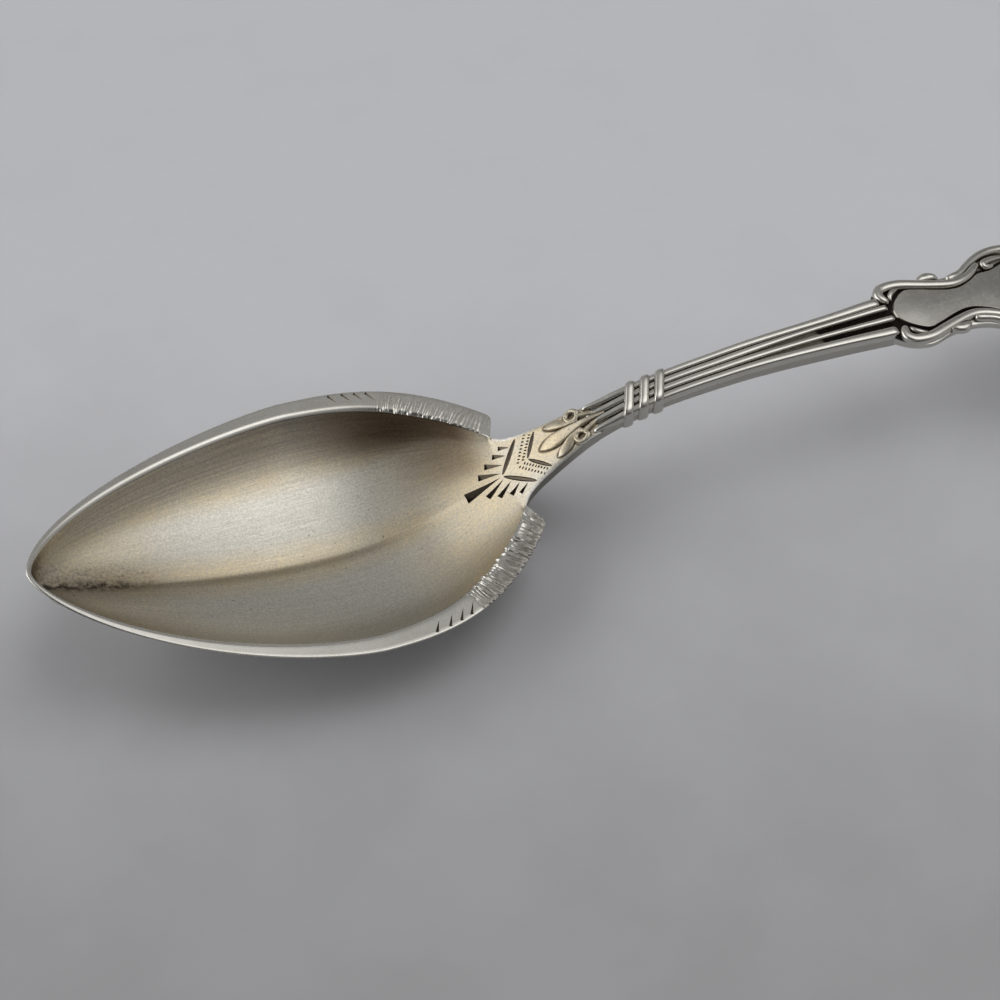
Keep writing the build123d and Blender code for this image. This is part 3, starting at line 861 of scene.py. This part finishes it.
def bed_soot_and_shade(s, y, z):
    """Brown on the sides of the neck, tarnish and painted shade between the reeds, pale past the ties,
    painted shade black at the handle.
    """
    if not on_top(s, y, z):
        return max(0.3, 0.7 * (1 - ease(s, 54.5, 61.5)))
    # the brown is tarnish with painted shade, and the black towards the handle is painted shade in the
    # grooves
    brown = 0.5 * ease(s, 59.0, 61.0) - 0.4 * ease(s, 66.0, 69.0) + 0.6 * ease(s, 70.0, 84.0)
    black_start = 85.6 + 0.5 * math.sin(5.0 * y)
    pitch = stem_half(min(s, HANDLE_START)) / 2
    # painted light: the far groove is kept lighter than the near ones
    lit_far_groove = ease(y, 0.85 * pitch, 0.95 * pitch)
    return max(brown, ease(s, black_start, black_start + 0.6)) * (1 - 0.6 * lit_far_groove)


def ear_soot(s, y, z):
    """Soot on the chopped part of the strip, away from its inner edge."""
    inner = bowl_half(min(s, BOWL_LENGTH)) - abs(y) - rim_width(s)
    amount = 0.2 if y > 0 else 0.5
    return amount * ease(s, CUT_START, CUT_START + 1.0) * (1 - ease(inner, -0.4, -0.15))


add_soot_and_shade(stem, bed_soot_and_shade)
add_soot_and_shade(strip, ear_soot)

# %% [markdown]
# With the finishes ready, the engraving tools can cut. The bowl and the stem take their
# own finish first, so that only the floors of the cuts turn dark. The four ticks on each
# side of the rim strip are cut in the same way.

# %% Cut the engraving
TICKS = (36.6, 38.1, 39.4, 40.6)


def coat(piece, *materials):
    piece.data.materials.clear()
    for material in materials:
        piece.data.materials.append(material)


def join(pieces, name):
    bpy.ops.object.select_all(action="DESELECT")
    for piece in pieces:
        piece.select_set(True)
    bpy.context.view_layer.objects.active = pieces[0]
    bpy.ops.object.join()
    pieces[0].name = name
    pieces[0].data.name = name
    return pieces[0]


def cut(piece, tool):
    """Takes the tool's shape out of the piece."""
    bpy.ops.object.select_all(action="DESELECT")
    piece.select_set(True)
    bpy.context.view_layer.objects.active = piece
    carve = piece.modifiers.new("engraving", "BOOLEAN")
    carve.operation = "DIFFERENCE"
    carve.solver = "EXACT"
    carve.material_mode = "TRANSFER"
    carve.object = tool
    bpy.ops.object.modifier_apply(modifier=carve.name)
    print(piece.name, "faces after the cut:", len(piece.data.polygons))


coat(bowl, gilt)
coat(stem, reeded_silver)
coat(strip, chopped_silver)
fan = join(tools, "engraving_tools")
coat(fan, cut_floor)
cut(bowl, fan)
cut(stem, fan)
bpy.data.objects.remove(fan)

tools = []
bpy.ops.object.select_all(action="DESELECT")
for side in (1, -1):
    for s in TICKS:
        height = rim_height(s) + 0.02
        first = at(s - 0.42, (bowl_half(s - 0.42) - 0.3) * side, height)
        last = at(s + 0.4, (bowl_half(s + 0.4) - 1.75) * side, height)
        cone_tool("tick_tool", first, last, 0.17, 0.02)
ticks = join(tools, "tick_tools")
coat(ticks, cut_floor)
cut(strip, ticks)
bpy.data.objects.remove(ticks)

# %% [markdown]
# The three engraved pieces are now done. Shading them smooth hides the facets of the
# sheets, while edges sharper than an angle stay crisp. Then each piece is tied to the
# frame: it rides on the spoon and stands for a CAD node.

# %% Place the engraved pieces
CRISP_ANGLE = 35.0


def smooth(piece, degrees):
    bpy.ops.object.select_all(action="DESELECT")
    piece.select_set(True)
    bpy.context.view_layer.objects.active = piece
    bpy.ops.object.shade_smooth_by_angle(angle=math.radians(degrees))


def belongs(piece, *nodes, slot="silver"):
    """The piece rides on the spoon and stands for these CAD nodes."""
    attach(piece, "root")
    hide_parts(*nodes)
    print(piece.name, "faces:", len(piece.data.polygons))


engraved = [(bowl, "bowl", "gilt_silver"), (strip, "rim_border", "silver"), (stem, "stem", "silver")]
for piece, cad_node, slot in engraved:
    smooth(piece, CRISP_ANGLE)
    belongs(piece, cad_node, slot=slot)

# %% [markdown]
# All the raised ornament is made of rods with a half-round top: petals, curls, reeds and
# scrolls. A rod follows a few knots, each a station, a side, half a width and a height.
# Where the half width falls to nothing the rod ends in a point, and elsewhere its ends
# are rounded off.

# %% Rods
SOFT_ANGLE = 60.0


def along_knots(knots, t):
    """A point of the smooth curve through the knots, t from 0 to 1."""
    spans = len(knots) - 1
    i = min(spans - 1, int(t * spans))
    f = t * spans - i
    before, first = knots[max(0, i - 1)], knots[i]
    second, after = knots[i + 1], knots[min(spans, i + 2)]
    point = []
    for p, q, r, v in zip(before, first, second, after):
        bend = (2 * p - 5 * q + 4 * r - v) * f ** 2
        twist = (3 * q - p - 3 * r + v) * f ** 3
        point.append(0.5 * (2 * q + (r - p) * f + bend + twist))
    return point


def rod(name, knots, ground=surface, steps=64, sides=24, foot=0.25, square=0.75):
    """A rod along the knots. A smaller square gives it a flatter top and steeper sides."""
    lengths = [0.0]
    for i in range(steps):
        p, q = along_knots(knots, i / steps), along_knots(knots, (i + 1) / steps)
        lengths.append(lengths[-1] + math.hypot(q[0] - p[0], q[1] - p[1]))

    def place(a, b):
        s, y, half, height = along_knots(knots, a)
        p, q = along_knots(knots, max(0.0, a - 0.004)), along_knots(knots, min(1.0, a + 0.004))
        dx, dy = q[0] - p[0], q[1] - p[1]
        length = math.hypot(dx, dy) or 1.0
        done = lengths[round(a * steps)]
        left = min(done, lengths[-1] - done)
        end = math.sqrt(max(0.0, 1 - (1 - min(1.0, left / max(half, 0.001))) ** 2))
        turn = 2 * math.pi * b
        sway = signed_power(math.cos(turn), square) * max(0.0, half) * end
        rise = signed_power(math.sin(turn), square) * end
        rise *= max(0.0, height) if b <= 0.5 else foot
        return at(s - dy / length * sway, y + dx / length * sway, ground(s, y) + rise)

    return weld(sheet(name, steps, sides, place))


def mirrored(knots):
    return [(s, -y, half, height) for s, y, half, height in knots]


def dress(piece, material, cad_node, degrees=SOFT_ANGLE):
    """Gives a shaped piece its finish, its smooth shading and its CAD node."""
    coat(piece, material)
    smooth(piece, degrees)
    belongs(piece, cad_node)


# %% [markdown]
# The palmette on the neck has three petals and two curls that spring from one stalk. A
# petal is a rod that is fat in the middle and pointed at its tip. The gold wash covers the
# palmette too, and the ground round it is brown: inside the two rings and in a fine line
# round every leaf. That soot lies on the bowl's sheet, which reaches this far.

# %% Palmette
RING_CENTRE, RING_RADIUS = (58.2, 1.45), 0.62
RING_HALF, RING_HEIGHT = 0.26, 0.38
SOOT_START, SOOT_LINE = 53.8, 0.22
centre_petal = [
    (54.1, 0.0, 0.0, 0.05), (54.6, 0.0, 0.5, 0.24), (55.5, 0.0, 0.86, 0.34), (56.9, 0.0, 0.74, 0.38),
    (58.3, 0.0, 0.46, 0.42), (59.7, 0.0, 0.3, 0.48), (61.4, 0.0, 0.16, 0.5),
]
side_petal = [
    (55.3, 2.05, 0.0, 0.05), (55.8, 1.9, 0.42, 0.24), (56.6, 1.52, 0.56, 0.34),
    (57.4, 1.0, 0.44, 0.36), (58.6, 0.6, 0.24, 0.34),
]
ring = [(60.4, 0.42, 0.14, 0.4), (59.6, 0.75, 0.22, 0.42)]
for turn in range(-30, 331, 45):
    angle = math.radians(turn)
    ring_s = RING_CENTRE[0] + RING_RADIUS * math.cos(angle)
    ring_y = RING_CENTRE[1] + RING_RADIUS * math.sin(angle)
    ring.append((ring_s, ring_y, RING_HALF, RING_HEIGHT))
shapes = [centre_petal, side_petal, mirrored(side_petal), ring, mirrored(ring)]
leaves = [rod("petal", shape, steps=96, square=0.5) for shape in shapes]
dress(join(leaves, "palmette_leaves"), gilt, "palmette")

outlines = [along_knots(shape, i / 60) for shape in shapes for i in range(61)]


def palmette_soot(s, y, z):
    """Brown ground in the rings and in a fine line round every leaf."""
    if s < SOOT_START or not on_top(s, y, z):
        return 0.0
    inside = math.hypot(s - RING_CENTRE[0], abs(y) - RING_CENTRE[1])
    away = min(math.hypot(s - p[0], y - p[1]) - max(0.0, p[2]) for p in outlines)
    return max(1 - ease(inside, 0.3, 0.45), 1 - ease(away, 0.02, SOOT_LINE))


add_soot_and_shade(bowl, palmette_soot)

# %% [markdown]
# Four reeds run from the palmette to the handle. The real ones look chased by hand, so
# they aren't even: towards the handle the two near grooves grow broad and black while the
# far one stays narrow, and the two inner reeds reach a little further, up to the panel.

# %% Reeds
REED_FIRST, REED_LAST = 59.4, HANDLE_START + 0.9
REED_KNOTS = 20
UNEVEN_START, UNEVEN_FULL = 74.0, 88.0
FRONT_HALF = 0.46
LOW_REED = 0.1
# For each reed: its half width and shift at the handle and its overhang, as shares of the
# pitch, then its extra length in millimetres.
REEDS = [
    (0.44, -0.03, -0.07, 0.0),
    (0.28, 0.14, 0.0, 0.45),
    (0.28, 0.32, 0.0, 0.45),
    (0.43, 0.0, 0.07, 0.0),
]
for index, (back_half, shift, overhang, reach) in enumerate(REEDS):
    knots = []
    last = REED_LAST + reach
    for i in range(REED_KNOTS):
        s = REED_FIRST + (last - REED_FIRST) * i / (REED_KNOTS - 1)
        pitch = stem_half(min(s, HANDLE_START)) / 2
        back = ease(s, UNEVEN_START, UNEVEN_FULL)
        half = FRONT_HALF + (back_half - FRONT_HALF) * back
        grow = ease(s, REED_FIRST - 0.5, REED_FIRST + 3.0)
        height = LOW_REED + (RELIEF - LOW_REED) * ease(s, BED_START, BED_FULL)
        y = (index - 1.5 + shift * back + overhang) * pitch
        knots.append((s, y, half * pitch * (0.35 + 0.65 * grow), height))
    reed = rod(f"reed_rod_{index + 1}", knots, steps=160, foot=0.4, square=0.5)
    dress(reed, reeded_silver, f"reed_{index + 1}")

# %% [markdown]
# Three bands tie the reeds together. A torus gives the band, and moving its vertices
# squares its ring to the stem's section and slants it across.

# %% Ties
FIRST_TIE = BOWL_LENGTH + 12.15
TIE_PITCH = 1.7
TIE_SLANT = math.tan(math.radians(25.0))
TIE_WIDTH = 1.25
TIE_SQUARE = 0.4


def tie(index):
    centre = FIRST_TIE + TIE_PITCH * index
    bpy.ops.object.select_all(action="DESELECT")
    bpy.ops.mesh.primitive_torus_add(
        major_segments=96, minor_segments=24, major_radius=1.0, minor_radius=0.5, location=(0.0, 0.0, 0.0)
    )
    piece = bpy.context.object
    piece.name = f"tie_ring_{index + 1}"
    piece.data.name = piece.name
    half = stem_half(centre) - 0.05
    tall = STEM_DEPTH / 2
    middle = top_line(centre) - STEM_DEPTH / 2
    for vertex in piece.data.vertices:
        turn = math.atan2(vertex.co.y, vertex.co.x)
        out = math.hypot(vertex.co.x, vertex.co.y) - 1.0
        side = signed_power(math.cos(turn), TIE_SQUARE)
        up = signed_power(math.sin(turn), TIE_SQUARE)
        bulge = out * (0.4 + 0.5 * max(0.0, up) ** 2)
        along = signed_power(2 * vertex.co.z, 0.7) * TIE_WIDTH / 2
        y = (half + bulge) * side
        lean = y * TIE_SLANT
        slope = top_line(centre + lean) - top_line(centre)
        vertex.co = at(centre + lean + along, y, middle + slope + (tall + bulge) * up)
    dress(piece, silver, f"tie_band_{index + 1}")


for index in range(3):
    tie(index)

# %% [markdown]
# The handle is a plate with a smooth panel that swells a little inside its border. The
# panel's edge follows the scrolls, so its half width is a curve of its own, and the
# plate's far end is a half circle. Soot fills the groove round the panel, and painted shade
# darkens the bevel of the panel's left edge.

# %% Handle plate
PLATE_DEPTH = 1.4
PLATE_EDGE = 0.12
PLATE_TOP_SHARE = 0.6
PLATE_CURVE_END = 145.04
END_RADIUS = 7.308
PANEL_START, PANEL_END = 95.6, 139.5
plate_half = smooth_line(
    [(HANDLE_START, HANDLE_START_HALF), (95.39, 4.2), (97.25, 4.85), (100.96, 4.05), (105.02, 4.0),
     (108.5, 5.6), (112.56, 6.85), (116.62, 6.45), (120.68, 6.0), (125.9, 6.6), (134.02, 8.5),
     (139.82, 8.8), (PLATE_CURVE_END, 7.3)],
    first_slope=1.2, last_slope=-0.5,
)
panel_half = smooth_line(
    [(PANEL_START, 0.5), (96.4, 1.75), (97.1, 2.4), (98.3, 3.1), (99.9, 2.8), (101.7, 2.2),
     (103.6, 1.75), (104.7, 1.78), (106.4, 2.4), (107.8, 3.15), (109.6, 3.35), (111.5, 4.0),
     (113.2, 4.5), (116.6, 4.5), (120.7, 4.3), (125.9, 4.9), (134.0, 6.6), (PANEL_END, 6.9)],
    first_slope=1.6, last_slope=0.0,
)


def plate_reach(s):
    if s < PLATE_CURVE_END:
        return plate_half(s)
    return math.sqrt(max(0.0, END_RADIUS ** 2 - (s - SPOON_LENGTH + END_RADIUS) ** 2))


def panel_swell(s, y):
    """How far the panel stands over the groove along its border."""
    inside = panel_half(min(s, PANEL_END)) - abs(y)
    crown = panel_half(min(s, PANEL_END)) - math.hypot(y, 1.2)
    swell = 0.36 * ease(inside, -0.1, 0.22) + 0.12 * ease(crown, -1.0, 3.0)
    return swell * ease(s, 95.35, 95.85) * (1 - ease(s, 138.0, 142.5))


def groove_soot_and_shade(s, y, z):
    """Soot in the groove round the panel and on the ground between the curls; painted shade on the panel's
    left edge.
    """
    if s > 139.0 or not on_top(s, y, z):
        return 0.0
    away = abs(y) - panel_half(max(s, PANEL_START))
    outer = ease(away, 0.4, 0.75) * ease(s, 97.5, 98.5)
    # painted shade: on the left the dark reaches up over the panel's edge bevel
    edge = -0.36 if y < 0 else -0.08
    return max(ease(away, edge, edge + 0.18) * (1 - outer), 1 - ease(s, 95.55, 95.85))


def plate_place(a, b):
    s = HANDLE_START + HANDLE_LENGTH * (0.35 * a + 1.05 * a * a - 0.4 * a ** 3)
    half = plate_reach(s)
    top = top_line(s) - RELIEF
    if b <= PLATE_TOP_SHARE:
        u = 2 * b / PLATE_TOP_SHARE - 1
        y = half * u
        return at(s, y, top + panel_swell(s, y) - PLATE_EDGE * abs(u) ** 24)
    under = (b - PLATE_TOP_SHARE) / (1 - PLATE_TOP_SHARE)
    y, z = bar_under(half, top - PLATE_EDGE, PLATE_DEPTH - PLATE_EDGE, under)
    return at(s, y, max(0.0, z))


plate = weld(sheet("handle_panel", 380, 200, plate_place))
add_soot_and_shade(plate, groove_soot_and_shade)
dress(plate, silver, "handle_plate", 40.0)

# %% [markdown]
# C-scrolls border the panel. Each starts in a small curl, swells along its back and thins
# out again, and the left ones are mirror images of the right ones.

# %% Scrolls
def plate_top(s, y):
    return top_line(s) - RELIEF


scroll_shapes = {
    "lower_scroll": [
        [(96.0, 1.9, 0.28, 0.45), (95.5, 2.4, 0.5, 0.62), (95.3, 3.2, 0.6, 0.65),
         (95.9, 3.95, 0.62, 0.65), (97.1, 4.15, 0.62, 0.65), (98.4, 4.0, 0.64, 0.64),
         (100.0, 3.5, 0.62, 0.62), (101.7, 2.98, 0.6, 0.6), (103.6, 2.52, 0.58, 0.6),
         (105.0, 2.56, 0.56, 0.6), (106.5, 3.08, 0.54, 0.6), (107.8, 3.92, 0.5, 0.6),
         (108.8, 4.7, 0.3, 0.5)],
        [(97.9, 3.5, 0.12, 0.3), (97.1, 3.25, 0.3, 0.5), (96.45, 2.7, 0.3, 0.5),
         (96.3, 2.1, 0.14, 0.3)],
    ],
    "knuckle_leaf": [
        [(100.4, 3.7, 0.2, 0.4), (101.1, 3.98, 0.5, 0.62), (101.9, 4.08, 0.6, 0.65),
         (102.6, 3.85, 0.46, 0.62), (103.0, 3.4, 0.15, 0.35)],
    ],
    "upper_scroll": [
        [(103.8, 3.1, 0.3, 0.45), (104.6, 3.28, 0.46, 0.64), (105.9, 3.7, 0.42, 0.62),
         (107.4, 4.65, 0.42, 0.64), (108.8, 5.4, 0.48, 0.65), (110.3, 5.95, 0.52, 0.65),
         (112.0, 6.2, 0.54, 0.65), (114.2, 6.05, 0.55, 0.65), (116.3, 5.6, 0.4, 0.55)],
        [(112.6, 5.0, 0.15, 0.3), (111.4, 4.95, 0.32, 0.5), (110.3, 4.75, 0.4, 0.62),
         (109.4, 4.4, 0.44, 0.65), (109.4, 3.9, 0.38, 0.6), (110.1, 3.85, 0.3, 0.5),
         (110.6, 4.15, 0.15, 0.35)],
    ],
    "side_border": [
        [(116.6, 5.6, 0.3, 0.4), (118.6, 5.35, 0.6, 0.65), (120.7, 5.25, 0.66, 0.65),
         (126.5, 5.95, 0.68, 0.65), (134.0, 7.7, 0.68, 0.65), (139.5, 8.05, 0.66, 0.65),
         (143.0, 7.2, 0.5, 0.55)],
    ],
}
for shape, parts in scroll_shapes.items():
    for side in ("right", "left"):
        sided = parts if side == "right" else [mirrored(part) for part in parts]
        rods = [rod(shape, part, ground=plate_top, steps=90, square=0.65) for part in sided]
        dress(join(rods, f"{shape}_{side}_moulding"), silver, f"{shape}_{side}")

# %% [markdown]
# The end of the handle can't be seen in the photograph, so it carries a plain fluted
# shell. The sheet is a fan: along it runs the distance from the root, across it the
# angle, and a cosine makes the flutes.

# %% End shell
FLUTES = 7
FAN_SHARE = 0.86
SHELL_ROOT = SPOON_LENGTH - 9.9
SHELL_LENGTH, SHELL_HALF = 9.0, 7.2
SHELL_SPREAD = math.radians(124.0)
SHELL_SCALLOP = 0.45


def shell_place(a, b):
    if b <= FAN_SHARE:
        turn = SHELL_SPREAD * (b / FAN_SHARE - 0.5)
        flute = abs(math.cos(math.pi * FLUTES * (b / FAN_SHARE)))
        edge = (1 - flute) * SHELL_SCALLOP
        ridge = RELIEF * (0.35 + 0.65 * (1 - flute ** 2))
        lift = ridge * math.sqrt(max(0.0, 1 - a ** 8)) * ease(a, -0.2, 0.35)
    else:
        turn = SHELL_SPREAD * (0.5 - (b - FAN_SHARE) / (1 - FAN_SHARE))
        edge, lift = 0.0, -0.15
    s = SHELL_ROOT + a * (SHELL_LENGTH + edge) * math.cos(turn)
    return at(s, a * (SHELL_HALF + edge) * math.sin(turn), top_line(s) - RELIEF + lift)


shell = weld(sheet("fluted_shell", 60, 220, shell_place))
dress(shell, silver, "end_shell")

# %% [markdown]
# The photograph was taken on a pale table in daylight that fades towards the viewer. The
# table is a plain plane with that falloff of light painted into its grey: a soft step over
# the distance from the viewer mixes a shaded near grey and a lit far grey, with a faint mottle.

# %% Table
SHADED_NEAR_TABLE, LIT_FAR_TABLE = (0.42, 0.42, 0.43, 1.0), (0.73, 0.735, 0.765, 1.0)
bpy.ops.object.select_all(action="DESELECT")
bpy.ops.mesh.primitive_plane_add(size=4.0, location=(0.0, 0.0, 0.0))
table = bpy.context.object
table.name = "table_top"
paper, tree, shader = new_finish("pale_table")
place = node(tree, "ShaderNodeTexCoord").outputs["Object"]
axes = node(tree, "ShaderNodeSeparateXYZ", {0: place})
depth = sums(tree, "ADD", axes.outputs[1], times(tree, axes.outputs[0], 0.35))
# painted light: the grey gets lighter away from the viewer
far = remap(tree, depth, -0.08, 0.035)
mottle = remap(tree, noise(tree, place, 60.0, 4.0), 0.3, 0.7, -0.06, 0.06)
pale = blend(tree, sums(tree, "ADD", far, mottle, clamp=True), SHADED_NEAR_TABLE, LIT_FAR_TABLE)
tree.links.new(pale, shader.inputs["Base Color"])
shader.inputs["Roughness"].default_value = 0.6
coat(table, paper)
print("table finish:", paper.name)

# %% [markdown]
# Metal mirrors the whole room, and a few hard lamps would show in it as spots. The room is
# therefore painted in the world: plain walls with wide soft patches on them. Bright ones
# are overhead, at the window behind on the left and at the left. Dark ones are overhead
# towards the bowl, low in front where the photographer stands and at the back right.

# %% Light
WALLS = 0.38
world = bpy.data.worlds.new("room")
bpy.context.scene.world = world
world.use_nodes = True
tree = world.node_tree
way = node(tree, "ShaderNodeTexCoord").outputs["Generated"]


def patch(direction, inner, outer, strength):
    """A soft round patch of the room: full within the inner angle, gone past the outer one."""
    sources = {0: way, 1: Vector(direction).normalized()}
    facing = node(tree, "ShaderNodeVectorMath", sources, operation="DOT_PRODUCT").outputs["Value"]
    spread = remap(tree, facing, math.cos(math.radians(outer)), math.cos(math.radians(inner)))
    return times(tree, spread, strength)


patches = [
    patch((-0.5, -0.2, 0.84), 12.0, 35.0, -0.97 * WALLS),
    patch((0.43, 0.12, 0.89), 0.0, 29.0, 1.48),
    patch((-0.47, 0.65, 0.59), 6.0, 16.0, 1.9),
    patch((-0.9, 0.25, 0.35), 12.0, 36.0, 1.8),
    patch((0.0, -0.98, 0.15), 20.0, 48.0, -0.3),
    patch((0.68, 0.57, 0.47), 6.0, 25.0, -0.18),
]
room = WALLS
for light in patches:
    room = sums(tree, "ADD", room, light)
tree.links.new(room, tree.nodes["Background"].inputs["Strength"])
tree.nodes["Background"].inputs["Color"].default_value = (1.0, 1.0, 1.0, 1.0)
print("patches in the room:", len(patches))

# %% [markdown]
# The camera stands where the photograph was taken from: low over the bowl's near side,
# looking down along the spoon, so that the handle leaves the frame on the right. The
# Standard view transform keeps the colours as they were set.

# %% Camera
CAMERA_TURN = (39.390, -0.868, -21.869)
bpy.ops.object.camera_add(
    location=(-0.07926, -0.12520, 0.16776), rotation=[math.radians(v) for v in CAMERA_TURN]
)
camera = bpy.context.object
camera.name = "photo_camera"
camera.data.lens = 72.0
camera.data.sensor_width = 36.0
camera.data.clip_start = 0.01
bpy.context.scene.camera = camera
bpy.context.scene.view_settings.view_transform = "Standard"
print("camera height in m:", round(camera.location.z, 4))
